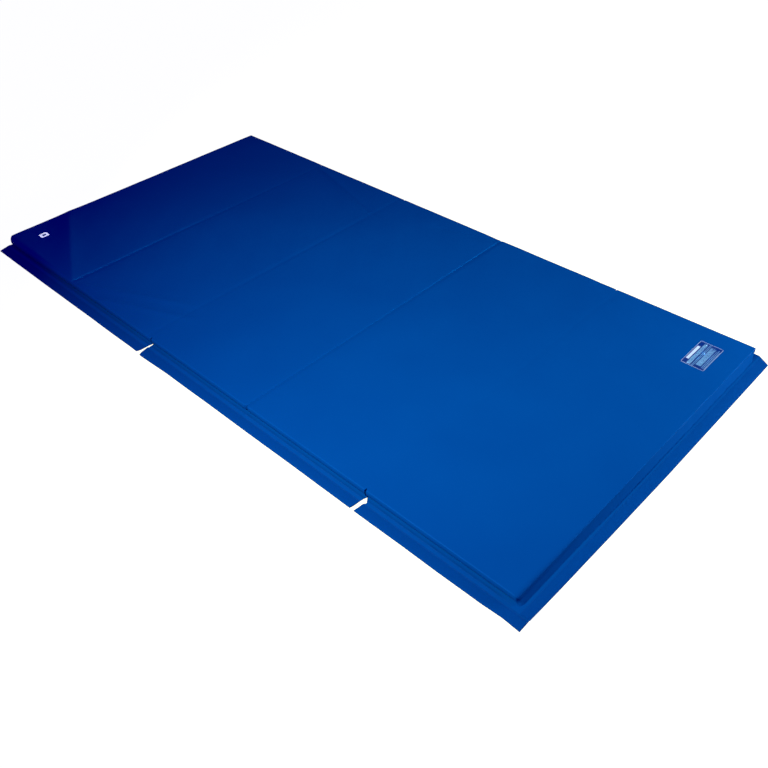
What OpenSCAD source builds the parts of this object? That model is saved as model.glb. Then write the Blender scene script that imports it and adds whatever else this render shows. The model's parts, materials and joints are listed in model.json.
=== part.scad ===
// Folding gym mat: five foam panels in coated covers, hinged edge to edge so that they fold up like
// an accordion, with a joining flap along one long side and one end.
// The origin is on the floor under the middle of the row of panels. +X runs along the row from
// panel 1 to panel 5, the flapped long side faces -Y, and +Z is up. Lengths are in millimetres.

/* [Mat] */
// Length of the opened mat along the row of panels
mat_length = 3048; // [1800:1:3700]
// Width of the mat along its folds
mat_width = 1524; // [900:1:1900]
// Thickness of the mat from its underside to its top
thickness = 35; // [25:1:60]
// Radius of the soft top edge round the outside of the mat
edge_radius = 12; // [6:1:16]

/* [Cover] */
// Thickness of the coated cover sheet
sheet_t = 0.6; // [0.4:0.1:1.2]
// Radius of the top edges on both sides of a fold whose web is underneath
groove_radius = 5; // [2:0.5:6]

/* [Folds] */
// Gap between neighbouring panels
fold_gap = 4; // [3:0.5:8]
// Width of the slot between a web and the panel that swings on it
web_clearance = 0.3; // [0.2:0.1:0.6]
// Gap in the flap and its tape where they cross a fold whose web is underneath
flap_split = 1; // [0.6:0.1:2]

/* [Flaps and tapes] */
// Distance that the flaps stand out from the panels
flap_w = 63.5; // [50:0.5:80]
// Thickness of a flap, which is two layers of cover sheet
flap_t = 1.2; // [0.8:0.1:2.4]
// Width of the hook tapes and the loop tapes
tape_w = 38; // [25:1:40]
// Thickness of the hook tapes and the loop tapes
tape_t = 1.5; // [1:0.1:2.5]
// Border of bare flap outside a hook tape
hook_border = 1.5; // [1:0.5:4]
// Border of bare underside outside a loop tape
loop_border = 6; // [4:0.5:15]
// Distance that the end flap runs past the corner, over the strip of the side flap
corner_lap = 17; // [5:1:30]
// Setback of the side flap from the free end of panel 1
flap_setback = 22; // [0:1:60]
// Extra setback of the side flap's outer corner there
flap_taper = 12; // [0:1:30]
// Size of the slanted cut on the end flap's far corner, [across the flap, along the flap]
end_chamfer = [47, 31]; // [10:1:47]

/* [Tag and label] */
// Size of the blank tag on panel 1, [along X, along Y]
tag_size = [40, 40]; // [30:1:80]
// Place of the tag's middle from the free end and the flapped side of panel 1
tag_from_corner = [124, 129]; // [60:1:300]
// Size of the care label on panel 5, [along X, along Y]
label_size = [94, 167]; // [60:1:200]
// Place of the label's middle from the flapped end and the plain side of panel 5
label_from_corner = [131, 179]; // [110:1:300]
// Thickness of the tag and the label
patch_t = 0.3; // [0.2:0.1:0.5]
// Corner radius of the tag and the label
patch_radius = 6; // [2:1:10]

/* [Hidden] */
PANELS = 5;
EACH_PANEL = [
    "foam_core",
    "bottom_cover",
    "top_cover",
    "side_loop_tape",
    "side_flap",
    "side_hook_tape"
];

VINYL_BLUE = [0.02, 0.27, 0.60];
UNDERSIDE_BLUE = [0.03, 0.20, 0.46];
TAPE_BLUE = [0.02, 0.22, 0.52];
FOAM_GREY = [0.78, 0.80, 0.82];
TAG_WHITE = [0.93, 0.94, 0.96];
LABEL_BLUE = [0.10, 0.22, 0.48];

arc_step = 15;
panel_length = mat_length / PANELS;
half_length = mat_length / 2;
half_width = mat_width / 2;
recess_t = tape_t + sheet_t;
tape_end = 3;
// How far the flap's two edges stand from the fold line where a slit parts it, at a fold whose web is
// on top: [left edge, right edge], each [at the panel, at the outer edge of the flap]
slit_near_middle = [[-4, -13], [3, 17]];
slit_near_end = [[3, -6], [8, 12]];

// Fold n lies between panel n and panel n + 1. Fold 0 and fold 5 stand for the free ends of the row.
function fold_x(fold) = fold * panel_length - half_length;
function is_free_end(fold) = fold == 0 || fold == PANELS;
function web_on_top(fold) = !is_free_end(fold) && fold % 2 == 0;
function half_gap(fold) = is_free_end(fold) ? 0 : fold_gap / 2;
function panel_start(n) = fold_x(n - 1) + half_gap(n - 1);
function panel_end(n) = fold_x(n) - half_gap(n);
// Radius of a panel's top edge at a fold: none where the top sheet runs on across the fold
function top_radius(fold) =
    is_free_end(fold) ? edge_radius : web_on_top(fold) ? 0 : groove_radius;

// Points of an upright outline from x0 to x1, flat underneath, with arcs at its two top corners
function arch(x0, x1, bottom, top, r0, r1) = concat(
    [[x0, bottom]],
    r0 > 0 ? [for (a = [0 : arc_step : 90]) [x0 + r0 * (1 - cos(a)), top - r0 * (1 - sin(a))]]
        : [[x0, top]],
    r1 > 0 ? [for (a = [90 : -arc_step : 0]) [x1 - r1 * (1 - cos(a)), top - r1 * (1 - sin(a))]]
        : [[x1, top]],
    [[x1, bottom]]
);

// The mat's cross-section pulled in by inset, extruded along X from x0 to x1
module across(x0, x1, bottom, inset) {
    edge = half_width - inset;
    radius = edge_radius - inset;
    rotate([90, 0, 90])
        translate([0, 0, x0])
            linear_extrude(x1 - x0)
                polygon(arch(-edge, edge, bottom, thickness - inset, radius, radius));
}

// The block of panel n from bottom up, pulled in by inset all round
module panel_block(n, bottom, inset) {
    x0 = panel_start(n) + inset;
    x1 = panel_end(n) - inset;
    r0 = max(top_radius(n - 1) - inset, 0);
    r1 = max(top_radius(n) - inset, 0);
    intersection() {
        across(x0, x1, bottom, inset);
        rotate([90, 0, 0])
            linear_extrude(mat_width, center = true)
                polygon(arch(x0, x1, bottom, thickness - inset, r0, r1));
    }
}

// A box from corner a to corner b, both [x, y], between the heights z0 and z1
module slab(a, b, z0, z1) {
    translate([a.x, a.y, z0])
        cube([b.x - a.x, b.y - a.y, z1 - z0]);
}

// A flat plate of the given outline between the heights z0 and z1
module plate(points, z0, z1) {
    translate([0, 0, z0])
        linear_extrude(z1 - z0)
            polygon(points);
}

// A plate with rounded corners round a middle [x, y]
module patch(middle, size, z0, z1) {
    r = patch_radius;
    translate([middle.x, middle.y, z0])
        linear_extrude(z1 - z0) {
            square([size.x, size.y - 2 * r], center = true);
            square([size.x - 2 * r, size.y], center = true);
            for (x = [-1, 1], y = [-1, 1])
                translate([x * (size.x / 2 - r), y * (size.y / 2 - r)])
                    circle(r);
        }
}

// Footprints of the loop tapes under panel n, each as two opposite corners: one along the plain long
// side, and on panel 1 one more along its free end
function side_loop(n) = [
    [panel_start(n) + (n == 1 ? loop_border : tape_end), half_width - loop_border - tape_w],
    [panel_end(n) - (n == PANELS ? loop_border : tape_end), half_width - loop_border]
];
function end_loop() = [
    [-half_length + loop_border, -half_width + loop_border],
    [-half_length + loop_border + tape_w, half_width - loop_border - tape_w - tape_end]
];
function loops_under(n) = n == 1 ? [side_loop(n), end_loop()] : [side_loop(n)];

// The shallow steps in the underside that the loop tapes lie in, with walls of the given thickness
module loop_steps(n, wall, z0, z1) {
    for (tape = loops_under(n))
        slab(tape[0] - [wall, wall], tape[1] + [wall, wall], z0, z1);
}

module foam_core(n) {
    color(FOAM_GREY)
        difference() {
            panel_block(n, sheet_t, sheet_t);
            loop_steps(n, sheet_t, 0, recess_t);
        }
}

// Bottom sheet, which turns up as the end wall of a panel where the web is on top
module bottom_cover(n) {
    color(UNDERSIDE_BLUE)
        difference() {
            union() {
                slab([panel_start(n), -half_width], [panel_end(n), half_width], 0, sheet_t);
                if (web_on_top(n - 1))
                    across(panel_start(n), panel_start(n) + sheet_t, 0, sheet_t);
                if (web_on_top(n))
                    across(panel_end(n) - sheet_t, panel_end(n), 0, sheet_t);
                loop_steps(n, sheet_t, 0, recess_t);
            }
            loop_steps(n, 0, -1, tape_t);
        }
}

// Top sheet, which turns down as the long side walls and as every other end wall
module top_cover(n) {
    color(VINYL_BLUE)
        difference() {
            panel_block(n, sheet_t, 0);
            panel_block(n, 0, sheet_t);
            if (web_on_top(n - 1))
                across(panel_start(n) - 1, panel_start(n) + 1, 0, sheet_t);
            if (web_on_top(n))
                across(panel_end(n) - 1, panel_end(n) + 1, 0, sheet_t);
        }
}

module side_loop_tape(n) {
    color(TAPE_BLUE)
        slab(side_loop(n)[0], side_loop(n)[1], 0, tape_t);
}

module end_loop_tape() {
    color(TAPE_BLUE)
        slab(end_loop()[0], end_loop()[1], 0, tape_t);
}

// Strip of cover sheet that bridges a fold. It belongs to the panel on its right and bends in use.
module hinge_web(fold) {
    z0 = web_on_top(fold) ? thickness - sheet_t : 0;
    start = fold_x(fold) - fold_gap / 2 + web_clearance;
    edge = half_width - edge_radius;
    color(web_on_top(fold) ? VINYL_BLUE : UNDERSIDE_BLUE)
        slab([start, -edge], [fold_x(fold) + fold_gap / 2, edge], z0, z0 + sheet_t);
}

// X of the side flap's two ends on panel n, each [at the panel, at the outer edge of the flap]
function slit(fold) = fold == 2 ? slit_near_middle : slit_near_end;
function flap_start(n) =
    n == 1 ? [flap_setback - half_length, flap_setback + flap_taper - half_length]
    : web_on_top(n - 1) ? slit(n - 1)[1] + fold_x(n - 1) * [1, 1]
    : (fold_x(n - 1) + flap_split / 2) * [1, 1];
function flap_end(n) =
    n == PANELS ? (half_length + flap_w) * [1, 1]
    : web_on_top(n) ? slit(n)[0] + fold_x(n) * [1, 1]
    : (fold_x(n) - flap_split / 2) * [1, 1];
// X on one of those ends at a distance out from the panel
function along(ends, out) = ends[0] + (ends[1] - ends[0]) * out / flap_w;

// Outline of a strip of side flap n between two distances out from the panel. The border shortens it
// at a free end and at a slit, and not where it carries on across a fold.
function end_border(fold, border) = is_free_end(fold) || web_on_top(fold) ? border : 0;
function side_strip(n, from, to, border) =
    let (
        left = end_border(n - 1, border),
        right = end_border(n, border)
    )
    [
        [along(flap_start(n), from) + left, -half_width - from],
        [along(flap_end(n), from) - right, -half_width - from],
        [along(flap_end(n), to) - right, -half_width - to],
        [along(flap_start(n), to) + left, -half_width - to]
    ];

module side_flap(n) {
    color(VINYL_BLUE)
        difference() {
            plate(side_strip(n, 0, flap_w, 0), 0, flap_t);
            if (n == PANELS)
                slab([half_length, -half_width - corner_lap],
                     [half_length + flap_w + 1, -half_width + 1], -1, flap_t + 1);
        }
}

module side_hook_tape(n) {
    outside = flap_w - hook_border;
    color(TAPE_BLUE)
        plate(side_strip(n, outside - tape_w, outside, hook_border), flap_t, flap_t + tape_t);
}

// Outline of the end flap, pulled in by a border on its outer edges
function end_outline(border) =
    let (
        outer = half_length + flap_w - border,
        near = -half_width - corner_lap + border,
        far = half_width - border
    )
    [
        [half_length, near],
        [outer, near],
        [outer, far - end_chamfer.y],
        [outer - end_chamfer.x, far],
        [half_length, far]
    ];

module end_flap() {
    color(VINYL_BLUE)
        plate(end_outline(0), 0, flap_t);
}

module end_hook_tape() {
    inside = half_length + flap_w - hook_border - tape_w;
    color(TAPE_BLUE)
        intersection() {
            plate(end_outline(hook_border), flap_t, flap_t + tape_t);
            slab([inside, -mat_width], [inside + tape_w, mat_width], flap_t, flap_t + tape_t);
        }
}

module corner_tag() {
    color(TAG_WHITE)
        patch([-half_length, -half_width] + tag_from_corner, tag_size, thickness, thickness + patch_t);
}

module care_label() {
    color(LABEL_BLUE)
        patch([half_length, half_width] - label_from_corner, label_size, thickness, thickness + patch_t);
}

for (n = [1 : PANELS]) {
    foam_core(n);
    bottom_cover(n);
    top_cover(n);
    side_loop_tape(n);
    side_flap(n);
    side_hook_tape(n);
}
for (fold = [1 : PANELS - 1])
    hinge_web(fold);
end_flap();
end_hook_tape();
end_loop_tape();
corner_tag();
care_label();
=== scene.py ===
import json
import math

import bmesh
import bpy
import numpy as np
from mathutils import Matrix, Vector


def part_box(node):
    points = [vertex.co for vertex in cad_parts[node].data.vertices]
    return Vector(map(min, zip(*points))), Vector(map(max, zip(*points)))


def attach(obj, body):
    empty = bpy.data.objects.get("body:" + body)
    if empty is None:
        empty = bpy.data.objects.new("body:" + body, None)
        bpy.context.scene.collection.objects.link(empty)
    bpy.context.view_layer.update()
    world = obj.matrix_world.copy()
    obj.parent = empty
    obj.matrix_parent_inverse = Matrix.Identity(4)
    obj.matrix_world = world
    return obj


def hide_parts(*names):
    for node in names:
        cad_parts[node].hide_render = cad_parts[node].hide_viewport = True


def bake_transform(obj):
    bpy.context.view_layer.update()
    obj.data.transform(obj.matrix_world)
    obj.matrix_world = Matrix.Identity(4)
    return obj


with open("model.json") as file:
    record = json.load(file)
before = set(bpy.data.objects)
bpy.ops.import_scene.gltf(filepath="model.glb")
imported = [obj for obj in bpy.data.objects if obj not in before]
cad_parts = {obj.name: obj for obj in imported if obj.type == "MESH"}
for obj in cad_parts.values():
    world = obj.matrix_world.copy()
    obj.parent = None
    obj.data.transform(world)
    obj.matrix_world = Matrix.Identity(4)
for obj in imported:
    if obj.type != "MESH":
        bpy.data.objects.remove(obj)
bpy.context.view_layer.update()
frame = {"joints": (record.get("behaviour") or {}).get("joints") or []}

# ---- Sizes ----
# Everything is in metres, in the frame of the CAD model: +X runs along the row of panels,
# the flapped long side faces -Y, and the floor is at Z = 0.

MM = 0.001
PANELS = 5
FOLD_X = {int(joint["name"][-1]): joint["pos_m"][0] for joint in frame["joints"]}
PANEL_ENDS = {n: (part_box(f"bottom_cover_{n}")[0].x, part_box(f"bottom_cover_{n}")[1].x)
              for n in range(1, PANELS + 1)}
HALF_LENGTH = PANEL_ENDS[PANELS][1]
HALF_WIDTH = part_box("bottom_cover_1")[1].y
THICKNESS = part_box("top_cover_1")[1].z
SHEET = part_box("hinge_web_1")[1].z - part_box("hinge_web_1")[0].z
FLAP_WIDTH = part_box("end_flap")[1].x - HALF_LENGTH
FLAP_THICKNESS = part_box("end_flap")[1].z
HOOK_FROM = -HALF_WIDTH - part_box("side_hook_tape_1")[1].y
HOOK_TO = -HALF_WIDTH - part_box("side_hook_tape_1")[0].y
HOOK_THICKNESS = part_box("side_hook_tape_1")[1].z - FLAP_THICKNESS
LOOP_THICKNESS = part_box("side_loop_tape_1")[1].z

TOP_STEP = 7.6 * MM        # spacing of the points of a cover
CORE_STEP = 14 * MM        # and of a foam core
FLAP_STEP = 10 * MM        # and along a flap or tape
ARC_STEPS = 7              # rows of points round a soft edge
WALL_STEPS = 7             # rows of points down a wall

# Soft top edges, each with its reach in from the edge and its depth
EDGE = (22 * MM, 13 * MM)              # where the cover is slack
TIGHT_EDGE = (3 * MM, 2.6 * MM)        # along the rest of the outer sides
SIDE_SLACK_ENDS = (-1.3, -0.7)         # the flapped long side is slack up to here, and tight from there
END_SLACK = 0.9                        # slack of the flapped end at its near corner
END_SLACK_ENDS = (-0.9 * HALF_WIDTH, -0.2 * HALF_WIDTH)
# On the left and the right side of each fold that opens upwards
GROOVE = {1: ((9 * MM, 0.8 * MM), (9 * MM, 0.8 * MM)), 3: ((6 * MM, 2.9 * MM), (16 * MM, 2.4 * MM))}
NOTCH = (5 * MM, 4 * MM)               # where the long wall is slit at a fold that opens downwards
WEB_HALF = 754 * MM        # half the width of the top sheet that runs on across such a fold
WEB_ROWS = 5               # rows of points between the two panels there
WEB_HOLLOW = {2: (-24 * MM, 9 * MM, 0.9 * MM), 4: (12 * MM, 9 * MM, 0.5 * MM)}   # place, reach, depth
RIM_STEP = (-13 * MM, 6 * MM, 3.4 * MM)    # panel 1's top steps down to fold 1: place, reach, depth
RIM_STEP_FADE = (-0.55, 0.25)              # over this stretch across the mat the step gets shallower
RIM_STEP_LEFT = 0.15                       # to this share of its depth
CROWN = 0.5 * MM           # the middle of a panel stands this much above its flat height
PILLOW = 0.9 * MM          # and its rims lie this much below the middle
PILLOW_REACH = 45 * MM
PILLOW_END = 0.8           # share of that at the end of a panel
PILLOW_WEB = 0.25          # and at a fold where the sheet runs on
PILLOW_MOST = 1.2          # and at most, at a corner
UNEVEN = (0.25 * MM, 0.08 * MM)    # height of the long and the short waves all over the top
WALL_BULGE = 1.1 * MM      # a wall bulges this much halfway down
PUCKER = 1.2 * MM          # and puckers in proportion to this
SIDE_BULGE = 2.6 * MM      # the wall of the flapped long side bulges over its seam
GAP_FILL = 1.8 * MM        # covers stand this far into the gap of a fold that opens upwards
SEAM_TUCK = 1.4 * MM       # the wall pulls in to the seam along its foot
SIDE_TUCK = 8 * MM         # and further in along the flapped long side
WALL_CURVE = 1.2           # how late the wall pulls in on its way down: 1 is even
SIDE_CURVE = 2.4           # and along the flapped long side
END_FLARE = 15 * MM        # the wall slopes out to its seam at the flapped free end
FLARE_FADE = (0.93, 0.995) # except at its far corner: shares of the half width
SEAM_Z = 0.9 * MM          # height of the foot of a wall
TOP_SINK = 0.2 * MM        # leaves room for the waves of the top
SLACK_TUCK = 8 * MM        # the wall pulls in around the mat's slack corner
SLACK_REACH = 50 * MM


def is_free_end(fold):
    return fold in (0, PANELS)


def web_on_top(fold):
    """Whether the panels beside this fold are joined along their tops, so that it opens downwards."""
    return not is_free_end(fold) and fold % 2 == 0


# ---- Shape of the mat ----

def smooth(value, low, high):
    """0 below low, 1 above high, and a smooth step between them."""
    t = np.clip((value - low) / (high - low), 0, 1)
    return t * t * (3 - 2 * t)


def ripple(x, y, length, seed):
    """Gentle unevenness between about -1 and 1, with waves about this long."""
    total = 0
    for k in range(5):
        turn = 2.4 * k + seed
        stretch = 1 + 0.27 * k
        along = (x * math.cos(turn) + y * math.sin(turn)) * 2 * math.pi * stretch / length
        total = total + np.sin(along + 1.7 * seed + 5.1 * k) / 2.5
    return total


CREASE_TIP = 9 * MM        # how round the bottom of a crease is
CREASE_START = 0.6         # share of its width that it has where it starts
CREASE_WIDENS = 0.4        # share of its length over which it gets to its full width


def valley(x, y, start, end, left_width, right_width, depth):
    """A crease that starts deep at one point and fades out at another. It slopes over one width on its
    left side, seen from start to end, and over another on its right side."""
    length = math.dist(start, end)
    ux, uy = (end[0] - start[0]) / length, (end[1] - start[1]) / length
    along = (x - start[0]) * ux + (y - start[1]) * uy
    across = -(x - start[0]) * uy + (y - start[1]) * ux
    share = along / length
    narrowing = CREASE_START + (1 - CREASE_START) * np.clip(share / CREASE_WIDENS, 0, 1)
    width = np.where(across > 0, left_width, right_width) * narrowing
    fade = smooth(share, -0.06, 0.08) * (1 - smooth(share, 0.75, 1.08))
    return depth * fade * np.exp(-(np.hypot(across, CREASE_TIP) - CREASE_TIP) / width)


# Creases that the packing has left in the cover: start, end, width of the left side, width of the
# right side, depth. A hollow has a positive depth, and a ridge a negative one.
CREASES = [
    ((-0.910, -0.768), (-1.609, -0.380), 24 * MM, 52 * MM, -4.4 * MM),
    ((-1.050, -0.775), (-1.330, -0.760), 30 * MM, 24 * MM, -1.5 * MM),
    ((-0.890, -0.755), (-0.330, -0.500), 17 * MM, 17 * MM, -3.6 * MM),
    ((-0.720, -0.757), (-0.250, -0.560), 16 * MM, 16 * MM, -3.0 * MM),
    ((-0.900, 0.735), (-0.290, 0.545), 18 * MM, 16 * MM, 3.6 * MM),
    ((0.300, 0.760), (-0.050, 0.640), 18 * MM, 16 * MM, 3.0 * MM),
    ((0.955, 0.685), (0.800, 0.755), 14 * MM, 14 * MM, 2.0 * MM),
]


def soft_edge(distance, across, down):
    """How far a rounded edge lies below the flat at a distance in from it."""
    return down * (1 - np.sqrt(1 - np.clip(1 - distance / across, 0, 1) ** 2))


def groove_edge(distance, across, down):
    """The same for the gentle slope beside a fold that opens upwards."""
    return down * np.clip(1 - distance / across, 0, 1) ** 2


def slack_edge(slack):
    """Reach and depth of an outer edge whose cover is slack, from 0, tight, to 1."""
    return [tight + (full - tight) * slack for tight, full in zip(TIGHT_EDGE, EDGE)]


def end_edge(fold, side, y):
    """Reach and depth of the rounding of a panel's top along the fold or free end with this number. The
    side is 0 for a panel on the left of the fold, and 1 for one on its right."""
    if fold == PANELS:
        return slack_edge(END_SLACK - END_SLACK * smooth(y, *END_SLACK_ENDS))
    if is_free_end(fold):
        return TIGHT_EDGE
    if web_on_top(fold):
        return NOTCH[0], NOTCH[1] * smooth(np.abs(y), WEB_HALF, WEB_HALF + 6 * MM)
    return GROOVE[fold][side]


def side_edge(x, y):
    """The same for the long side that is nearer."""
    return slack_edge(np.where(y < 0, 1 - smooth(x, *SIDE_SLACK_ENDS), 0))


def top_height(n, x, y):
    """Height of the top of panel n."""
    x0, x1 = PANEL_ENDS[n]
    side = HALF_WIDTH - np.abs(y)
    drop = soft_edge(side, *side_edge(x, y)) ** 2
    sunk = np.exp(-np.maximum(side, 0) / PILLOW_REACH)
    for distance, fold, end in ((x - x0, n - 1, 1), (x1 - x, n, 0)):
        distance = np.maximum(distance, 0)
        profile = groove_edge if fold in GROOVE else soft_edge
        drop = drop + profile(distance, *end_edge(fold, end, y)) ** 2
        share = PILLOW_WEB if web_on_top(fold) else PILLOW_END
        sunk = sunk + share * np.exp(-distance / PILLOW_REACH)
    height = THICKNESS + CROWN - np.sqrt(drop) - PILLOW * np.minimum(sunk, PILLOW_MOST)
    for fold, (place_x, reach, depth) in WEB_HOLLOW.items():
        height = height - depth * np.exp(-((x - FOLD_X[fold] - place_x) / reach) ** 2)
    if n == 1:
        place_x, reach, depth = RIM_STEP
        fade = 1 - (1 - RIM_STEP_LEFT) * smooth(y, *RIM_STEP_FADE)
        height = height - depth * fade * smooth(x, FOLD_X[1] + place_x - reach, FOLD_X[1] + place_x + reach)
    for crease in CREASES:
        height = height - valley(x, y, *crease)
    return height + UNEVEN[0] * ripple(x, y, 0.31, 0.4) + UNEVEN[1] * ripple(x, y, 0.09, 2.2) - TOP_SINK


# Radius in plan of a panel's corners, and of those that differ: (panel, right, far)
CORNER_RADIUS = 4 * MM
CORNER_RADII = {
    (1, False, False): 36 * MM,     # the mat's slack corner
    (1, False, True): 10 * MM,
    (3, True, False): 12 * MM,
    (4, False, False): 12 * MM,
    (5, True, False): 10 * MM,
    (5, True, True): 5 * MM,
}


def round_corners(x, y, low, high, radii):
    """Rounds the corners of a rectangle of points in plan. radii holds (right, far): radius."""
    new_x, new_y = x.copy(), y.copy()
    for (right, far), radius in radii.items():
        to_x, to_y = (1 if right else -1), (1 if far else -1)
        out_x = np.clip(1 - ((high[0] - x) if right else (x - low[0])) / radius, 0, 1)
        out_y = np.clip(1 - ((high[1] - y) if far else (y - low[1])) / radius, 0, 1)
        new_x -= to_x * radius * out_x * (1 - np.sqrt(1 - out_y ** 2 / 2))
        new_y -= to_y * radius * out_y * (1 - np.sqrt(1 - out_x ** 2 / 2))
    return new_x, new_y


CORNERS = [(right, far) for right in (False, True) for far in (False, True)]


def plan(n, x, y, inset=0.0):
    """Rounds the corners of panel n in plan, and pulls its outline in by inset."""
    x0, x1 = PANEL_ENDS[n]
    radii = {corner: CORNER_RADII.get((n, *corner), CORNER_RADIUS) for corner in CORNERS}
    x, y = round_corners(x, y, (x0, -HALF_WIDTH), (x1, HALF_WIDTH), radii)
    middle, half = (x0 + x1) / 2, (x1 - x0) / 2
    return middle + (x - middle) * (1 - inset / half), y * (1 - inset / HALF_WIDTH)


def stations(start, end, step, start_arc=0.0, end_arc=0.0):
    """Places from start to end: evenly spaced, and closer together round a soft edge at either end."""
    turn = np.linspace(0, math.pi / 2, ARC_STEPS + 1)
    inner = (end - end_arc) - (start + start_arc)
    middle = np.linspace(start + start_arc, end - end_arc, max(2, round(inner / step)) + 1)
    first = start + start_arc * (1 - np.sin(turn[:0:-1])) if start_arc else []
    last = end - end_arc * (1 - np.sin(turn[1:])) if end_arc else []
    return np.concatenate([first, middle, last])


# ---- Meshes ----

class Build:
    """The points and faces of one piece while it is put together."""

    def __init__(self):
        self.points, self.faces, self.marks = [], [], []

    def add(self, x, y, z):
        """Adds points from arrays of one shape, and returns their numbers in that shape."""
        x, y, z = np.broadcast_arrays(x, y, z)
        first = len(self.points)
        self.points.extend(zip(x.ravel(), y.ravel(), z.ravel()))
        return np.arange(first, len(self.points)).reshape(x.shape)

    def quads(self, rows, flip=False, mark=None):
        """Faces between the rows and columns of an array of point numbers. mark gives each face's
        material."""
        a, b, c, d = rows[:-1, :-1], rows[1:, :-1], rows[1:, 1:], rows[:-1, 1:]
        order = (a, d, c, b) if flip else (a, b, c, d)
        self.faces.extend(zip(*(part.ravel().tolist() for part in order)))
        self.marks.extend([0] * a.size if mark is None else mark.ravel().tolist())

    def wall(self, path, foot, bulge, tuck=0.0, curve=WALL_CURVE, up=False):
        """A wall from an outline of points, taken anticlockwise, to the height foot. It bulges halfway,
        and ends pulled in by tuck, nearer to its foot when curve is larger."""
        outline = np.array([self.points[i] for i in path])
        closed = path[0] == path[-1]
        step = np.gradient(outline[:, :2], axis=0)
        if closed:
            step[0] = step[-1] = outline[1, :2] - outline[-2, :2]
        outward = np.stack([step[:, 1], -step[:, 0]], axis=1)
        outward /= np.linalg.norm(outward, axis=1)[:, None]
        rows = [np.array(path)]
        for share in np.linspace(0, 1, WALL_STEPS + 1)[1:]:
            pucker = PUCKER * share * (1 - share) * ripple(outline[:, 0], outline[:, 1], 0.11, 3.3)
            out = bulge * math.sin(math.pi * share) - tuck * share ** curve + pucker
            level = outline[:, 2] + (foot - outline[:, 2]) * share
            row = self.add(outline[:, 0] + outward[:, 0] * out, outline[:, 1] + outward[:, 1] * out, level)
            if closed:
                row[-1] = row[0]
            rows.append(row)
        self.quads(np.array(rows), flip=up)

    def closed(self, top, bottom, mark=None):
        """A closed block between two matching grids of points."""
        over, under = self.add(*top), self.add(*bottom)
        self.quads(over, mark=mark)
        self.quads(under, flip=True)
        ring = [np.concatenate([g[:, 0], g[-1, 1:], g[-2::-1, -1], g[0, -2::-1]]) for g in (over, under)]
        self.quads(np.array(ring))

    def piece(self, name, materials, thickness=0.0):
        """Makes the Blender object. A thickness is added on the inner side of an open sheet."""
        mesh = bpy.data.meshes.new(name)
        mesh.from_pydata(self.points, [], self.faces)
        obj = bpy.data.objects.new(name, mesh)
        bpy.context.scene.collection.objects.link(obj)
        for material in materials:
            mesh.materials.append(material)
        mesh.polygons.foreach_set("material_index", self.marks)
        if thickness:
            layer = obj.modifiers.new("sheet", "SOLIDIFY")
            layer.thickness = thickness
            layer.offset = -1
            final = bpy.data.meshes.new_from_object(obj.evaluated_get(bpy.context.evaluated_depsgraph_get()))
            obj.modifiers.clear()
            obj.data = final
            bpy.data.meshes.remove(mesh)
            final.name = name
        obj.data.shade_smooth()
        obj.data.set_sharp_from_angle(angle=math.radians(48))
        return obj

    def solid(self, name, materials):
        """The same for closed shapes, whose faces are turned to look outwards."""
        obj = self.piece(name, materials)
        edit = bmesh.new()
        edit.from_mesh(obj.data)
        bmesh.ops.recalc_face_normals(edit, faces=edit.faces)
        edit.to_mesh(obj.data)
        edit.free()
        return obj


def outline(grid, sides):
    """The point numbers along the named sides of a grid, which are given anticlockwise."""
    runs = {"near": grid[:, 0], "right": grid[-1, :], "far": grid[::-1, -1], "left": grid[0, ::-1]}
    path = list(runs[sides[0]])
    for side in sides[1:]:
        path += list(runs[side][1:])
    return path


def place(obj, bodies, slot, *nodes):
    """Hides the CAD nodes that a piece stands for, and attaches a piece with one body to that body. A piece
    with two bodies only has its transform baked into its points. The material slot is not used."""
    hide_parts(*nodes)
    if len(bodies) == 1:
        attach(obj, f"panel_{bodies[0]}")
    else:
        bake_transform(obj)
    return obj


def across_fold(fold):
    """The places of the points across a fold that a piece crosses, from one panel's rim to the next."""
    return np.linspace(PANEL_ENDS[fold][1], PANEL_ENDS[fold + 1][0], WEB_ROWS + 2)


# ---- Foam cores and covers ----

UNDER_RIM = 3 * MM         # reach of the rounding along the rims of the underside
TURN_UP_GAP = 1.2 * MM     # an end wall turned up from the underside stops this far below the top


def end_reach(fold):
    """How far in the points stand closer together along the end of a panel."""
    return (EDGE if is_free_end(fold) else NOTCH if web_on_top(fold) else GROOVE[fold][1])[0]


def underside(n, x, y):
    """Height of the underside of panel n's cover: flat on the floor, with shallow steps that the loop
    tapes lie in, and turned up a little at its rims."""
    x0, x1 = PANEL_ENDS[n]
    height = soft_edge(HALF_WIDTH - np.abs(y), UNDER_RIM, SEAM_Z)
    for distance, fold in ((x - x0, n - 1), (x1 - x, n)):
        if is_free_end(fold) or web_on_top(fold):
            height = np.maximum(height, soft_edge(distance, UNDER_RIM, SEAM_Z))
    for node in loops_under(n):
        low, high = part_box(node)
        inside = (x > low.x) & (x < high.x) & (y > low.y) & (y < high.y)
        height = np.where(inside, LOOP_THICKNESS, height)
    return height


def loops_under(n):
    return [f"side_loop_tape_{n}"] + (["end_loop_tape"] if n == 1 else [])


def under_stations(n):
    """Places along and across the underside of panel n, with a pair at each step."""
    x0, x1 = PANEL_ENDS[n]
    xs = stations(x0, x1, CORE_STEP, UNDER_RIM, UNDER_RIM)
    ys = stations(-HALF_WIDTH, HALF_WIDTH, CORE_STEP, UNDER_RIM, UNDER_RIM)
    for node in loops_under(n):
        low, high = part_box(node)
        step = 0.15 * MM
        xs = np.union1d(xs, [low.x - step, low.x + step, high.x - step, high.x + step])
        ys = np.union1d(ys, [low.y - step, low.y + step, high.y - step, high.y + step])
    return xs, ys


def bridge(build, left, right, fold, height, flip=False):
    """The strip of sheet between matching rims of two panels, across a fold."""
    y = np.array([build.points[i][1] for i in left])
    x = across_fold(fold)[1:-1, None]
    strip = build.add(x, y[None, :], height(x, y[None, :]))
    build.quads(np.vstack([left[None], strip, right[None]]), flip=flip)


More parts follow.
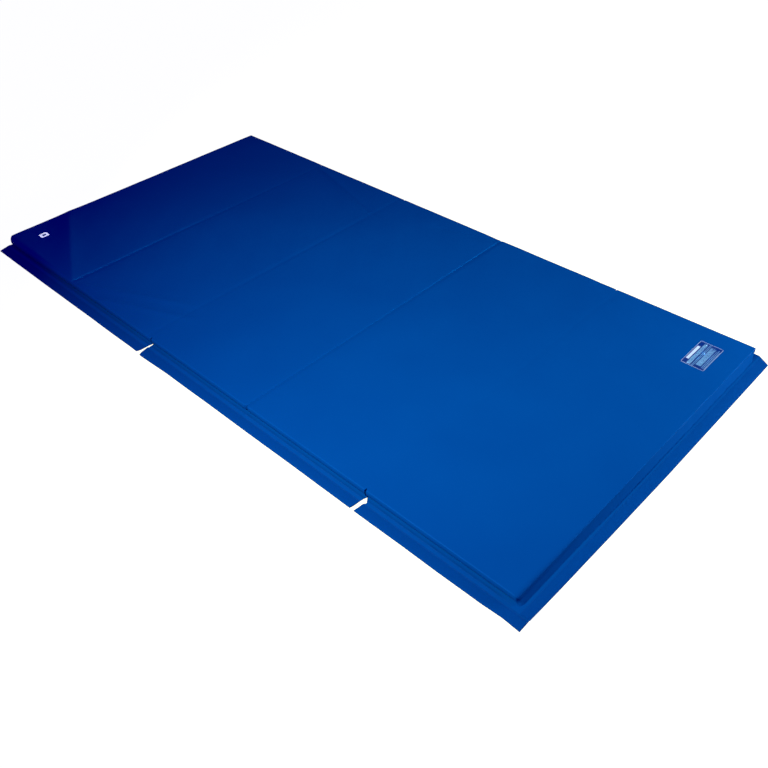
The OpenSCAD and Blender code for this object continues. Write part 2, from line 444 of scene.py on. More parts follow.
def slackness(x, y):
    """1 at the mat's slack corner, and less away from it."""
    return np.exp(-(np.hypot(x + HALF_LENGTH, y + HALF_WIDTH) / SLACK_REACH) ** 2)


def wall_shape(x, y):
    """How much the wall bulges at places on its top edge, how much its foot is pulled in, and how late."""
    rim = 10 * MM
    near, far = y < rim - HALF_WIDTH, y > HALF_WIDTH - rim
    at_fold = ~(near | far) & (np.abs(x) < HALF_LENGTH - rim)
    at_end = smooth(x, HALF_LENGTH - rim, HALF_LENGTH)
    at_end = at_end * (1 - smooth(y, *[share * HALF_WIDTH for share in FLARE_FADE]))
    slack = slackness(x, y)
    tuck = np.where(at_fold, GAP_FILL, np.where(near, SIDE_TUCK, SEAM_TUCK))
    tuck = tuck * (1 - slack) + SLACK_TUCK * slack
    tuck = tuck + (-END_FLARE - tuck) * at_end
    bulge = np.where(near, SIDE_BULGE * (1 - at_end) * (1 - slack), WALL_BULGE)
    return bulge, tuck, np.where(near, SIDE_CURVE, WALL_CURVE)


def sew(build, kind, panels, material, slot):
    cover = build.piece(f"{kind}_{'_'.join(map(str, panels))}_sewn", [material], SHEET)
    nodes = [f"{kind}_{n}" for n in panels] + [f"hinge_web_{n}" for n in panels[:-1]]
    place(cover, panels, slot, *nodes)


def top_cover(panels):
    """The top sheet and the walls sewn from it, over one panel or two."""
    build = Build()
    ys = stations(-HALF_WIDTH, HALF_WIDTH, TOP_STEP, EDGE[0], EDGE[0])
    grids = []
    for n in panels:
        left, right = (GAP_FILL if fold in GROOVE else 0 for fold in (n - 1, n))
        x0, x1 = PANEL_ENDS[n]
        xs = stations(x0 - left, x1 + right, TOP_STEP, end_reach(n - 1), end_reach(n))
        x, y = np.meshgrid(xs, ys, indexing="ij")
        grids.append(build.add(*plan(n, x, y), top_height(n, x, y)))
        build.quads(grids[-1])
    if len(panels) == 1:
        paths = [outline(grids[0], ["near", "right", "far", "left"])]
    else:
        paths = [outline(grids[0], ["far", "left", "near"]), outline(grids[1], ["near", "right", "far"])]
        across = np.abs(ys) < WEB_HALF
        bridge(build, grids[0][-1, across], grids[1][0, across], panels[0],
               lambda x, y: top_height(panels[0], x, y))
    for path in paths:
        x, y = np.array([build.points[i][:2] for i in path]).T
        build.wall(path, SEAM_Z, *wall_shape(x, y))
    sew(build, "top_cover", panels, VINYL, "blue_vinyl")


def bottom_cover(panels):
    """The bottom sheet and the end walls that it turns up into, under one panel or two."""
    build = Build()
    grids = []
    for n in panels:
        xs, ys = under_stations(n)
        if len(panels) == 2:
            ys = np.union1d(under_stations(panels[0])[1], under_stations(panels[1])[1])
        x, y = np.meshgrid(xs, ys, indexing="ij")
        grids.append(build.add(*plan(n, x, y, inset=1 * MM), underside(n, x, y)))
        build.quads(grids[-1], flip=True)
        for fold, side, end in ((n - 1, "left", PANEL_ENDS[n][0]), (n, "right", PANEL_ENDS[n][1])):
            if web_on_top(fold):
                path = outline(grids[-1], [side])
                rim = np.array([build.points[i][1] for i in path])
                build.wall(path, top_height(n, end + 0 * rim, rim) - TURN_UP_GAP, WALL_BULGE, up=True)
    if len(panels) == 2:
        inside = PANEL_ENDS[panels[1]][0] + CORE_STEP
        bridge(build, grids[0][-1], grids[1][0], panels[0],
               lambda x, y: underside(panels[1], inside + 0 * x, y), flip=True)
    sew(build, "bottom_cover", panels, UNDERSIDE, "blue_vinyl_underside")


FOAM_INSET = 2.4 * MM      # the foam lies this far inside its cover
FOAM_PULL_REACH = 70 * MM  # its underside is pulled in with the cover's foot, less and less this far in


def foam_core(n):
    """The foam block inside panel n's cover."""
    build = Build()
    xs = stations(*PANEL_ENDS[n], CORE_STEP, end_reach(n - 1), end_reach(n))
    ys = stations(-HALF_WIDTH, HALF_WIDTH, CORE_STEP, EDGE[0], EDGE[0])
    x, y = np.meshgrid(xs, ys, indexing="ij")
    px, py = plan(n, x, y, FOAM_INSET)
    pulled_in = SIDE_TUCK * (1 - smooth(py, -HALF_WIDTH, -HALF_WIDTH + FOAM_PULL_REACH))
    low_x, low_y = px + SLACK_TUCK * slackness(px, py), py + pulled_in
    bottom = LOOP_THICKNESS + SHEET + 0.2 * MM
    build.closed((px, py, top_height(n, x, y) - FOAM_INSET), (low_x, low_y, bottom))
    core = build.piece(f"foam_{n}", [FOAM])
    place(core, [n], "foam", f"foam_core_{n}")


# ---- Flaps, tapes and stitching ----
# Each follows an edge of the mat: "along" is a place along that edge, and "out" is a distance out from
# the panels, or in from the edge for a tape underneath.

# Where the side flap ends at each slit and at panel 1's free end: pairs of a distance out and a place
# along, counted from the fold or free end
FLAP_LEFT = {
    0: [(0, 22 * MM), (20 * MM, 22 * MM), (60 * MM, 36 * MM)],
    2: [(0, 2 * MM), (7 * MM, 4 * MM), (17 * MM, 6 * MM), (24 * MM, 1 * MM), (36 * MM, 4 * MM),
        (53 * MM, 9 * MM), (64 * MM, 16 * MM)],
    4: [(0, 8 * MM), (8 * MM, 15 * MM), (18 * MM, 23 * MM), (26 * MM, 15 * MM), (64 * MM, 12 * MM)],
}
FLAP_RIGHT = {
    2: [(0, -4 * MM), (33 * MM, -6 * MM), (51 * MM, -7 * MM), (64 * MM, -13 * MM)],
    4: [(0, 5 * MM), (25 * MM, 0), (51 * MM, -2 * MM), (64 * MM, -6 * MM)],
    5: [(0, FLAP_WIDTH - 14 * MM), (16 * MM, FLAP_WIDTH - 12 * MM), (20 * MM, FLAP_WIDTH - 7 * MM),
        (64 * MM, FLAP_WIDTH - 6 * MM)],
}
# How much wider than usual a flap lies: pairs of a place along and the extra width
SIDE_EXTRA = [(-1.5, 3 * MM), (-1.3, 4 * MM), (-0.34, 4 * MM), (-0.31, 5 * MM), (-0.28, 10 * MM),
              (-0.1, 5 * MM), (0.6, 4 * MM), (0.9, 5 * MM), (1.44, 4 * MM), (1.52, 0), (1.58, 4 * MM)]
END_EXTRA = [(-0.78, -5 * MM), (-0.6, -2 * MM), (-0.3, 2 * MM), (0.0, 5 * MM), (0.73, 5 * MM)]
WIDER_FROM = 20 * MM       # that extra width starts this far out
# Where the end flap ends: at its near end, and at its far end as pairs of a distance out and a place
END_NEAR = -HALF_WIDTH - 21 * MM
END_FAR = [(0, HALF_WIDTH + 7 * MM), (19 * MM, HALF_WIDTH + 7 * MM), (FLAP_WIDTH, HALF_WIDTH - 29 * MM)]

FLAP_LIFT = 0.8 * MM       # a flap's outer edge stands about this high off the floor
CORNER_LIFT = 1.3 * MM     # and the end flap this much more, where it lies on the side flap
END_SHIFT = 7              # gives the end flap other waves than the side flap
END_REACH = 50 * MM        # the points of a strip slant with its end this far along it
# The ridge over the side flap's seam: height, distance out, spread on the inner and the outer side,
# and the stretch along the mat over which it ends
RIDGE_HEIGHT = 1.7 * MM
RIDGE_OUT = 11 * MM
RIDGE_SPREAD = (5 * MM, 12 * MM)
RIDGE_FADE = (1.44, 1.52)


def from_pairs(pairs, at):
    """The second number of the pairs, interpolated where their first number is this."""
    return np.interp(at, [pair[0] for pair in pairs], [pair[1] for pair in pairs])


def flap_left(fold, out):
    return (FOLD_X[fold] if fold else -HALF_LENGTH) + from_pairs(FLAP_LEFT[fold], out)


def flap_right(fold, out):
    return FOLD_X.get(fold, HALF_LENGTH) + from_pairs(FLAP_RIGHT[fold], out)


def side_place(along, out):
    spread = from_pairs(SIDE_EXTRA, along) * smooth(out, WIDER_FROM, FLAP_WIDTH)
    return along, -HALF_WIDTH - out - spread


def end_place(along, out):
    spread = from_pairs(END_EXTRA, along) * smooth(out, WIDER_FROM, FLAP_WIDTH)
    return HALF_LENGTH + out + spread, along


def lying(along, out):
    """Height of the top of a flap that lies nearly flat on the floor."""
    lift = FLAP_LIFT * (out / FLAP_WIDTH) ** 2 * (1 + ripple(along, 0.3 * out, 0.43, 5.0))
    return FLAP_THICKNESS + 0.1 * MM + np.maximum(lift, 0)


def flap_top(along, out):
    """The side flap has a soft ridge over its seam allowance, up to the corner."""
    height = RIDGE_HEIGHT * (1 + 0.3 * ripple(along, 0, 0.06, 1.0)) * (1 - smooth(along, *RIDGE_FADE))
    spread = np.where(out < RIDGE_OUT, *RIDGE_SPREAD)
    return lying(along, out) + height * np.exp(-((out - RIDGE_OUT) / spread) ** 2)


def end_flap_top(along, out):
    """The end flap lies on the side flap's corner at one end."""
    on_flap = 1 - smooth(along, -HALF_WIDTH - 15 * MM, -HALF_WIDTH + 40 * MM)
    return lying(along + END_SHIFT, out) + CORNER_LIFT * on_flap


def strip_stations(start, end, folds, step=FLAP_STEP):
    """Places along a strip, with a close group across each fold that it crosses."""
    places = []
    for fold in folds:
        group = across_fold(fold)
        places += [stations(start, group[0], step)[:-1], group[:-1]]
        start = group[-1]
    return np.concatenate(places + [stations(start, end, step)])


def strip(name, material, ends, folds, rows, top, bottom, to_plan):
    """A closed strip along an edge of the mat. ends gives its two ends at a distance out, rows are its
    distances out, and top and bottom give its heights."""
    build = Build()
    first, last = ends
    rows = np.array(rows)
    middle = rows[len(rows) // 2]
    base = strip_stations(float(first(middle)), float(last(middle)), folds)
    along, out = np.meshgrid(base, rows, indexing="ij")
    near_first = np.clip(1 - (along - base[0]) / END_REACH, 0, 1)
    near_last = np.clip(1 - (base[-1] - along) / END_REACH, 0, 1)
    along = along + (first(out) - base[0]) * near_first + (last(out) - base[-1]) * near_last
    x, y = to_plan(along, out)
    build.closed((x, y, top(along, out)), (x, y, bottom(along, out)))
    return build.solid(name, [material])


# Distances out of the rows of points of a flap. It starts under the panels, where its seam is.
FLAP_ROWS = [row * MM for row in (-11, -7, -3, 0, 2, 4, 6, 8, 10, 13, 17, 21, 24, 30, 38, 46, 54, 60,
                                  62, 63, 63.5)]
# Cross-section of a tape: share of its width, and share of its thickness. It has thin selvedges, which
# the stitches go through.
TAPE_SECTION = [(0, 0.06), (0.02, 0.2), (0.07, 0.28), (0.15, 0.5), (0.25, 0.78), (0.35, 0.95), (0.45, 1),
                (0.6, 1), (0.74, 1), (0.84, 0.8), (0.92, 0.35), (0.98, 0.22), (1, 0.06)]
SELVEDGE = 0.045           # place of a row of stitches, as a share of the tape's width
TAPE_END = 1.5 * MM        # a hook tape stops this far short of its flap's end


def tape_rows(start, end):
    return [start + (end - start) * share for share, _ in TAPE_SECTION]


def tape_profile(out, start, end, thickness):
    return thickness * from_pairs(TAPE_SECTION, (out - start) / (end - start))


def flap(name, ends, folds, top, to_plan):
    """A flap of two layers of sheet, folded over at its outer edge."""
    def edge_roll(out):
        return 0.5 * MM * smooth(out, 61 * MM, FLAP_WIDTH)
    return strip(name, VINYL, ends, folds, FLAP_ROWS, lambda a, o: top(a, o) - edge_roll(o),
                 lambda a, o: top(a, o) - FLAP_THICKNESS + edge_roll(o) / 2, to_plan)


def hook_tape(name, ends, folds, top, to_plan):
    """A hook tape on a flap, a little shorter than it."""
    first, last = ends
    inner = (lambda out: first(out) + TAPE_END, lambda out: last(out) - TAPE_END)
    return strip(name, HOOK, inner, folds, tape_rows(HOOK_FROM, HOOK_TO),
                 lambda a, o: top(a, o) + tape_profile(o, HOOK_FROM, HOOK_TO, HOOK_THICKNESS),
                 lambda a, o: top(a, o) + 0.02 * MM, to_plan)


def loop_tape(name, first, last, folds, to_plan, start, end):
    """A loop tape that lies in the step under the cover, with its face level with the underside."""
    low, high = 0.02 * MM, LOOP_THICKNESS - 0.03 * MM
    room = 0.3 * MM
    ends = (lambda out: first + room + 0 * out, lambda out: last - room + 0 * out)
    return strip(name, LOOP, ends, folds, tape_rows(start, end), lambda a, o: high + 0 * o,
                 lambda a, o: high - tape_profile(o, start, end, high - low), to_plan)


STITCH_LENGTH, STITCH_PITCH, THREAD = 3.6 * MM, 4.6 * MM, 0.5 * MM
STITCH_MARGIN = 6 * MM     # the rows stop this far from the end of a tape
STITCH_GAP = 4 * MM        # and this far on each side of a fold
SEAM_OUT = 12 * MM         # the flap's seam lies this far out
HOOK_SELVEDGE = 0.32 * HOOK_THICKNESS      # height of the hook tape's selvedge on the flap
LOOP_SELVEDGE = 0.75 * LOOP_THICKNESS      # height of the loop tape's selvedge off the floor


def stitches(name, rows, folds, to_plan):
    """Lock stitches in rows along an edge. Each row is (start, end, out, height function, side), where
    side is 1 on a face that looks up and -1 on one that looks down."""
    build = Build()
    turn = np.linspace(0, 2 * math.pi, 6)[:-1]
    # Along the stitch: place, thickness and depth, as shares
    shape = np.array([(-0.5, 0.35, -0.9), (-0.36, 0.9, 0.0), (0.36, 0.9, 0.0), (0.5, 0.35, -0.9)])
    for start, end, out, height, side in rows:
        count = int((end - start) / STITCH_PITCH)
        for place_along in start + STITCH_PITCH * (np.arange(count) + 0.5):
            if any(abs(place_along - FOLD_X[fold]) < STITCH_GAP for fold in folds):
                continue
            along = place_along + shape[:, :1] * STITCH_LENGTH + 0 * turn
            across = out + THREAD / 2 * shape[:, 1:2] * np.cos(turn)
            x, y = to_plan(along, across)
            z = height(along, across) + side * (THREAD / 2 * (shape[:, 1:2] * np.sin(turn) + shape[:, 2:]))
            ring = build.add(x, y, z)
            build.quads(np.hstack([ring, ring[:, :1]]))
            build.faces += [ring[0, ::-1].tolist(), ring[-1].tolist()]
            build.marks += [0, 0]
    return build.solid(name, [STITCHING])


def loop_stitches(name, first, last, across, folds, to_plan):
    """Two rows of stitches under a loop tape that runs from first to last and lies across these places."""
    selvedge = SELVEDGE * (across[1] - across[0])
    rows = [(first + STITCH_MARGIN, last - STITCH_MARGIN, out, lambda a, o: LOOP_SELVEDGE + 0 * a * o, -1)
            for out in (across[0] + selvedge, across[1] - selvedge)]
    return stitches(name, rows, folds, to_plan)


def flap_stitches(name, spans, folds, top, to_plan):
    """Three rows of stitches on a flap, each between two places: along the inner and the outer selvedge
    of its hook tape, and along its seam."""
    selvedge = SELVEDGE * (HOOK_TO - HOOK_FROM)
    outs = (HOOK_FROM + selvedge, HOOK_TO - selvedge, SEAM_OUT)
    faces = (lambda a, o: top(a, o) + HOOK_SELVEDGE, lambda a, o: top(a, o) + HOOK_SELVEDGE, top)
    rows = [(*span, out, face, 1) for span, out, face in zip(spans, outs, faces)]
    return stitches(name, rows, folds, to_plan)


def lay(piece, bodies, slot, nodes):
    """Places a flap or a tape that lies flat."""
    place(piece, bodies, slot, *nodes)


def loop_place(along, out):
    return along, HALF_WIDTH - out


def end_loop_place(along, out):
    return out - HALF_LENGTH, along


def side_strips(panels):
    """The side flap, its hook tape and the loop tape under the other long side. They run on across the
    folds that open upwards, and are parted at the others."""
    first, last = panels[0], panels[-1]
    suffix = "_".join(map(str, panels))
    folds = panels[:-1]
    ends = (lambda out: flap_left(first - 1, out), lambda out: flap_right(last, out))
    side_flap = flap(f"side_flap_{suffix}_sewn", ends, folds, flap_top, side_place)
    lay(side_flap, panels, "blue_vinyl", [f"side_flap_{n}" for n in panels])

    hooks = hook_tape(f"side_hook_tape_{suffix}_sewn", ends, folds, flap_top, side_place)
    lay(hooks, panels, "hook_tape",
        [f"side_hook_tape_{n}" for n in panels])

    low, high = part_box(f"side_loop_tape_{first}")[0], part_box(f"side_loop_tape_{last}")[1]
    from_far = (HALF_WIDTH - high.y, HALF_WIDTH - low.y)
    loops = loop_tape(f"side_loop_tape_{suffix}_sewn", low.x, high.x, folds, loop_place, *from_far)
    lay(loops, panels, "loop_tape",
        [f"side_loop_tape_{n}" for n in panels])
    under = loop_stitches(f"side_loop_tape_{suffix}_stitches", low.x, high.x, from_far, folds, loop_place)
    place(under, panels, "blue_vinyl")

    start = float(ends[0](HOOK_TO)) + STITCH_MARGIN
    end = float(ends[1](HOOK_FROM)) - STITCH_MARGIN
    spans = [(start, end), (start, end), (start, end - 8 * MM)]
    over = flap_stitches(f"side_flap_{suffix}_stitches", spans, folds, flap_top, side_place)
    place(over, panels, "blue_vinyl")


def end_strips():
    """The end flap with its hook tape, and the loop tape under the other end."""
    ends = (lambda out: END_NEAR + 0 * out, lambda out: from_pairs(END_FAR, out))
    end_flap = flap("end_flap_sewn", ends, (), end_flap_top, end_place)
    lay(end_flap, [PANELS], "blue_vinyl", ["end_flap"])

    hooks = hook_tape("end_hook_tape_sewn", ends, (), end_flap_top, end_place)
    lay(hooks, [PANELS], "hook_tape", ["end_hook_tape"])

    low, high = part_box("end_loop_tape")
    from_left = (low.x + HALF_LENGTH, high.x + HALF_LENGTH)
    loops = loop_tape("end_loop_tape_sewn", low.y, high.y, (), end_loop_place, *from_left)
    lay(loops, [1], "loop_tape", ["end_loop_tape"])
    under = loop_stitches("end_loop_tape_stitches", low.y, high.y, from_left, (), end_loop_place)
    place(under, [1], "blue_vinyl")

    spans = [(END_NEAR + 8 * MM, HALF_WIDTH - 10 * MM), (END_NEAR + 8 * MM, HALF_WIDTH - 36 * MM),
             (END_NEAR + 24 * MM, HALF_WIDTH - 6 * MM)]
    over = flap_stitches("end_flap_stitches", spans, (), end_flap_top, end_place)
    place(over, [PANELS], "blue_vinyl")


# ---- Tag and label ----
# Thin patches with a generic print of plain bars, and no lettering

PATCH_RADIUS = 6 * MM


def patch(name, node, xs, ys, ink, materials, panel):
    """A thin patch in the place of a CAD node. xs and ys are places from its low corner, and ink gives
    the number of the material at a place."""
    low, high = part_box(node)
    build = Build()
    x, y = np.meshgrid(low.x + np.unique(xs), low.y + np.unique(ys), indexing="ij")
    middle_x = (x[:-1, :-1] + x[1:, 1:]) / 2 - low.x
    middle_y = (y[:-1, :-1] + y[1:, 1:]) / 2 - low.y
    px, py = round_corners(x, y, low, high, {corner: PATCH_RADIUS for corner in CORNERS})
    z = top_height(panel, x, y)
    build.closed((px, py, z + 0.3 * MM), (px, py, z - 0.2 * MM), ink(middle_x, middle_y))
    return build.solid(name, materials)


def in_bars(bars, x, y):
    """1 inside the bars and 0 outside them."""
    inside = np.zeros(x.shape, int)
    for x0, x1, y0, y1 in bars:
        inside |= (x > x0) & (x < x1) & (y > y0) & (y < y1)
    return inside


def frame_bars(width, height, margin, line):
    """Four bars that make a border line inside a patch."""
    a, b = margin, margin + line
    return [(a, b, a, height - a), (width - b, width - a, a, height - a),
            (a, width - a, a, b), (a, width - a, height - b, height - a)]


def text_rows(first, last, pitch, thick, start, ends):
    """Plain bars of uneven length that stand for rows of small print."""
    bars = []
    place_x = first
    while place_x + thick <= last:
        bars.append((place_x, place_x + thick, start, ends[len(bars) % len(ends)]))
        place_x += pitch
    return bars


def bar_places(bars, size, spare):
    """The places of all the bars' edges in each direction, with some more between them."""
    xs = [edge for bar in bars for edge in bar[:2]] + list(np.linspace(0, size[0], spare))
    ys = [edge for bar in bars for edge in bar[2:]] + list(np.linspace(0, size[1], spare))
    return np.array(xs), np.array(ys)


def care_label():
    """The care label: a border, a header bar and blocks of small print."""
    low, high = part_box("care_label")
    width, height = high.x - low.x, high.y - low.y
    bright = frame_bars(width, height, 0.8 * MM, 1.1 * MM) + [(6 * MM, 17 * MM, 33 * MM, height - 38 * MM)]
    bars = []
    # Blocks of rows, in millimetres: first and last place, pitch, thickness, start, and the ends in turn
    for block in ((22, 37, 2.9, 1.4, 6, 158, 150, 155), (42, 48, 4.6, 1.2, 3, 163),
                  (53, 74, 2.9, 1.4, 20, 152, 143, 149, 136), (78, 90, 5.2, 1.2, 12, 140, 152)):
        first, last, pitch, thick, start, *ends = [value * MM for value in block]
        bars += text_rows(first, last, pitch, thick, start, ends)
    xs, ys = bar_places(bars + bright, (width, height), 24)
    label = patch("care_label_print", "care_label", xs, ys,
                  lambda x, y: in_bars(bars, x, y) + 2 * in_bars(bright, x, y),
                  [LABEL_GROUND, INK_PALE, INK_WHITE], PANELS)
    return place(label, [PANELS], "printed_label", "care_label")


def corner_tag():
    """The white tag, with a plain dark square for its mark."""
    low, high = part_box("corner_tag")
    width, height = high.x - low.x, high.y - low.y
    half = 9 * MM
    mark = [(width / 2 - half, width / 2 + half, height / 2 - half, height / 2 + half)]
    xs, ys = bar_places(mark, (width, height), 20)
    tag = patch("corner_tag_print", "corner_tag", xs, ys, lambda x, y: in_bars(mark, x, y),
                [TAG_WHITE, TAG_MARK], 1)
    return place(tag, [1], "white_tag", "corner_tag")


# ---- Materials ----

class Nodes:
    """A material's node tree, with short calls to add to it."""

    def __init__(self, name):
        self.material = bpy.data.materials.new(name)
        self.material.use_nodes = True
        self.tree = self.material.node_tree
        self.shader = self.tree.nodes["Principled BSDF"]
        self.place = self.add("ShaderNodeTexCoord").outputs["Object"]

    def connect(self, value, socket):
        """Gives a socket its value: a number, a colour or another node's output."""
        if isinstance(value, bpy.types.NodeSocket):
            self.tree.links.new(value, socket)
        else:
            socket.default_value = value

    def add(self, kind, **inputs):
        made = self.tree.nodes.new(kind)
        for key, value in inputs.items():
            self.connect(value, made.inputs[key.replace("_", " ")])
        return made

    def noise(self, scale, detail=2.0):
        return self.add("ShaderNodeTexNoise", Vector=self.place, Scale=scale, Detail=detail).outputs["Fac"]

    def cells(self, scale):
        return self.add("ShaderNodeTexVoronoi", Vector=self.place, Scale=scale).outputs["Distance"]

    def spread(self, value, low, high):
        """Maps a value from 0 to 1 onto low to high."""
        return self.add("ShaderNodeMapRange", Value=value, To_Min=low, To_Max=high).outputs["Result"]

    def sum(self, a, b):
        made = self.add("ShaderNodeMath")
        self.connect(a, made.inputs[0])
        self.connect(b, made.inputs[1])
        return made.outputs[0]

    def between(self, value, low, high):
        """A colour between two, by a value from 0 to 1."""
        ramp = self.add("ShaderNodeValToRGB", Fac=value)
        for element, colour, position in zip(ramp.color_ramp.elements, (low, high), (0.3, 0.7)):
            element.color = (*colour, 1)
            element.position = position
        return ramp.outputs["Color"]

    def bump(self, height, distance, strength=1.0, normal=None):
        made = self.add("ShaderNodeBump", Height=height, Distance=distance, Strength=strength)
        if normal is not None:
            self.connect(normal, made.inputs["Normal"])
        return made.outputs["Normal"]

    def finish(self, colour, roughness, normal, sheen=0.0, specular=0.5, tint=(1, 1, 1)):
        values = {"Base Color": colour, "Roughness": roughness, "Normal": normal, "Sheen Weight": sheen,
                  "Specular IOR Level": specular, "Specular Tint": (*tint, 1)}
        for key, value in values.items():
            self.connect(value, self.shader.inputs[key])
        return self.material


DYED = (0.03, 0.35, 1.0)     # the gloss on the blue materials is blue too


def vinyl(name, dark, light, roughness, grain):
    """Coated fabric: a fine pebble grain over soft waves, with uneven gloss."""
    nodes = Nodes(name)
    normal = nodes.bump(nodes.noise(38, 3), 0.35 * MM, 0.35)
    normal = nodes.bump(nodes.cells(620), 0.06 * MM, grain, normal)
    colour = nodes.between(nodes.noise(3.2, 4), dark, light)
    gloss = nodes.spread(nodes.noise(55, 4), roughness - 0.06, roughness + 0.08)
    return nodes.finish(colour, gloss, normal, specular=0.22, tint=DYED)


def tape(name, dark, light, scale, depth, sheen):
    """Woven tape covered with fine hooks or loops."""
    nodes = Nodes(name)
    pile = nodes.sum(nodes.cells(scale), nodes.noise(scale * 1.6, 3))
    normal = nodes.bump(pile, depth, 0.9)
    colour = nodes.between(nodes.noise(scale * 0.7, 3), dark, light)
    gloss = nodes.spread(nodes.noise(scale, 2), 0.75, 0.95)
    return nodes.finish(colour, gloss, normal, sheen=sheen, specular=0.2, tint=DYED)


def plain(name, dark, light, roughness, scale=240, depth=0.05 * MM):
    """A nearly even surface, such as ink, thread or foam, with fine unevenness."""
    nodes = Nodes(name)
    normal = nodes.bump(nodes.noise(scale, 3), depth, 0.6)
    colour = nodes.between(nodes.noise(scale / 6, 3), dark, light)
    gloss = nodes.spread(nodes.noise(scale / 3, 2), roughness - 0.05, roughness + 0.05)
    return nodes.finish(colour, gloss, normal)


VINYL = vinyl("blue_vinyl", (0.0002, 0.072, 0.238), (0.0003, 0.078, 0.250), 0.46, 0.35)
UNDERSIDE = vinyl("blue_vinyl_underside", (0.0003, 0.058, 0.200), (0.0005, 0.064, 0.215), 0.55, 0.5)
HOOK = tape("hook_tape", (0.0002, 0.060, 0.215), (0.0003, 0.070, 0.238), 700, 0.5 * MM, 0.0)
LOOP = tape("loop_tape", (0.0003, 0.036, 0.145), (0.0005, 0.046, 0.170), 420, 0.8 * MM, 0.1)
STITCHING = plain("thread", (0.001, 0.075, 0.25), (0.002, 0.10, 0.30), 0.6, 2600, 0.08 * MM)
FOAM = plain("foam", (0.72, 0.74, 0.76), (0.80, 0.82, 0.84), 0.9, 900, 0.3 * MM)
TAG_WHITE = plain("tag_white", (0.80, 0.82, 0.85), (0.88, 0.90, 0.92), 0.45)
TAG_MARK = plain("tag_mark", (0.015, 0.035, 0.10), (0.02, 0.045, 0.13), 0.45)
LABEL_GROUND = plain("label_ground", (0.0003, 0.022, 0.130), (0.0003, 0.026, 0.145), 0.42)
INK_PALE = plain("ink_pale", (0.17, 0.42, 0.50), (0.22, 0.48, 0.56), 0.45)
INK_WHITE = plain("ink_white", (0.44, 0.62, 0.62), (0.52, 0.70, 0.70), 0.45)


# ---- The mat ----

for n in range(1, PANELS + 1):
    foam_core(n)
for panels in ((1,), (2, 3), (4, 5)):
    top_cover(panels)
for panels in ((1, 2), (3, 4), (5,)):
    bottom_cover(panels)
for panels in ((1, 2), (3, 4), (5,)):
    side_strips(panels)
end_strips()
tag = corner_tag()
label = care_label()


# ---- Camera, floor and light ----

def camera():
    """The photograph's viewpoint: azimuth, elevation and a slight roll, in degrees."""
    azimuth, elevation, roll = (math.radians(a) for a in (45.07, 40.75, -2.32))
    back = Vector((math.sin(azimuth) * math.cos(elevation), -math.cos(azimuth) * math.cos(elevation),
                   math.sin(elevation)))
    level = Vector((math.cos(azimuth), math.sin(azimuth), 0))
    upright = back.cross(level)
    right = level * math.cos(roll) + upright * math.sin(roll)
    up = upright * math.cos(roll) - level * math.sin(roll)
    data = bpy.data.cameras.new("camera")
    data.lens = 38.03
    data.sensor_width = 36
    data.clip_end = 100
    obj = bpy.data.objects.new("camera", data)
    bpy.context.scene.collection.objects.link(obj)
    turn = Matrix((right, up, back)).transposed().to_4x4()
    obj.matrix_world = Matrix.Translation((2.219, -1.957, 1.972 + THICKNESS)) @ turn
    bpy.context.scene.camera = obj


def split_rays(tree, seen, felt, output):
    """Shows one shader to the camera, and lights the mat with another."""
    path = tree.nodes.new("ShaderNodeLightPath")
    mix = tree.nodes.new("ShaderNodeMixShader")
    tree.links.new(path.outputs["Is Camera Ray"], mix.inputs["Fac"])
    tree.links.new(felt.outputs[0], mix.inputs[1])
    tree.links.new(seen.outputs[0], mix.inputs[2])
    tree.links.new(mix.outputs[0], tree.nodes[output].inputs["Surface"])


def floor():
    """A plain pale floor, which shows a faint shadow and throws little light back up."""
    build = Build()
    reach = np.linspace(-9, 9, 3)
    x, y = np.meshgrid(reach, reach, indexing="ij")
    build.quads(build.add(x, y, 0 * x - 0.2 * MM))
    nodes = Nodes("floor")
    glow = nodes.add("ShaderNodeEmission", Color=(1, 1, 1, 1), Strength=0.99)
    bounce = nodes.add("ShaderNodeEmission", Color=(0.02, 0.12, 1.0, 1), Strength=0.10)
    pale = nodes.add("ShaderNodeBsdfDiffuse", Color=(0.6, 0.6, 0.1, 1))
    lit = nodes.add("ShaderNodeAddShader")
    nodes.connect(glow.outputs[0], lit.inputs[0])
    nodes.connect(pale.outputs[0], lit.inputs[1])
    split_rays(nodes.tree, lit, bounce, "Material Output")
    build.piece("floor", [nodes.material])


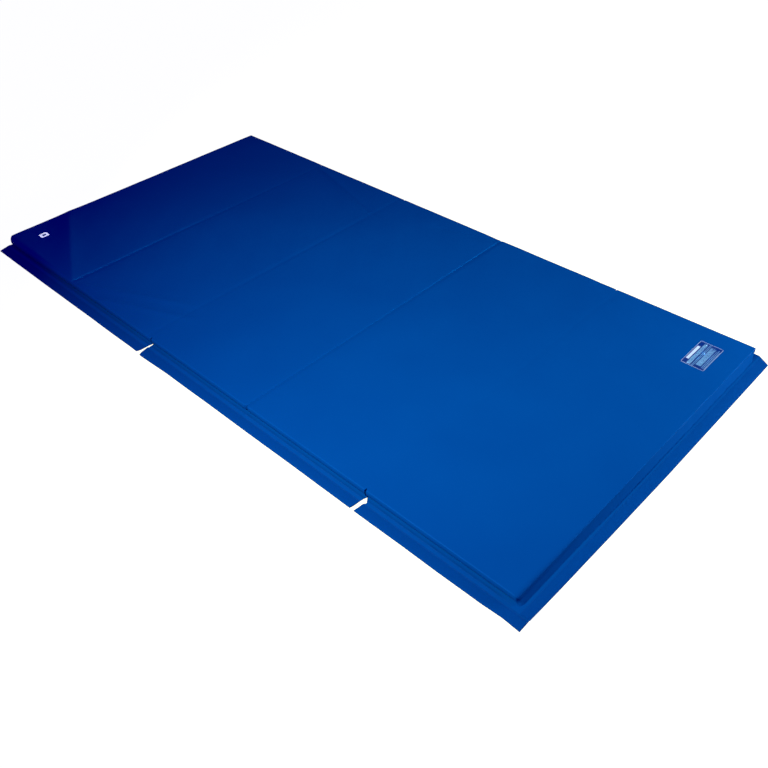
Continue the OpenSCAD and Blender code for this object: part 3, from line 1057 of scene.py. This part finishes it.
def area_light(name, place_at, aim, size, power, tan_half_spread=None, colour=(1, 1, 1), glossy=True):
    """A softbox of this size, (across, up), whose grid narrows its beam."""
    data = bpy.data.lights.new(name, "AREA")
    data.color = colour
    data.shape = "RECTANGLE"
    data.size, data.size_y = size
    data.energy = power
    if tan_half_spread:
        data.spread = 2 * math.atan(tan_half_spread)
    obj = bpy.data.objects.new(name, data)
    obj.visible_camera = False
    obj.visible_glossy = glossy
    bpy.context.scene.collection.objects.link(obj)
    direction = Vector(aim) - Vector(place_at)
    obj.matrix_world = Matrix.Translation(place_at) @ direction.to_track_quat("-Z", "Y").to_matrix().to_4x4()
    return obj


def surroundings():
    """A white backdrop to look at, and a deep blue room to be lit by."""
    world = bpy.data.worlds.new("room")
    world.use_nodes = True
    bpy.context.scene.world = world
    tree = world.node_tree
    room = tree.nodes["Background"]
    room.inputs["Color"].default_value = (0.0, 0.0, 1.0, 1)
    room.inputs["Strength"].default_value = 0.27
    backdrop = tree.nodes.new("ShaderNodeBackground")
    backdrop.inputs["Color"].default_value = (1, 1, 1, 1)
    split_rays(tree, backdrop, room, "World Output")


def light_on_print(name, piece, power):
    """A soft white light that only this piece takes, so that its print stays white."""
    light = area_light(name, (0, 0, 5.0), (0, 0, 0), (2.0, 2.0), power, glossy=False)
    takers = bpy.data.collections.new(name)
    takers.objects.link(piece)
    light.light_linking.receiver_collection = takers


camera()
floor()
area_light("key", (0.27, -2.43, 2.27), (1.41, 1.5, 0), (0.2, 0.2), 43.5, 1.11)
area_light("side", (2.24, 0.99, 0.37), (1.0, -0.05, 0), (2.0, 0.3), 7.4, 0.915, (1, 1, 1.25), glossy=False)
area_light("low", (3.5, 4.0, 0.3), (-1.5, -1.0, 0), (0.5, 0.35), 1.75, 0.1, glossy=False)
area_light("blue_fill", (0.5, -2.2, 2.0), (0.3, -0.2, 0), (1.5, 1.5), 25, colour=(0, 0, 1), glossy=False)
light_on_print("tag_light", tag, 240)
light_on_print("label_light", label, 75)
surroundings()
bpy.context.scene.view_settings.view_transform = "Standard"
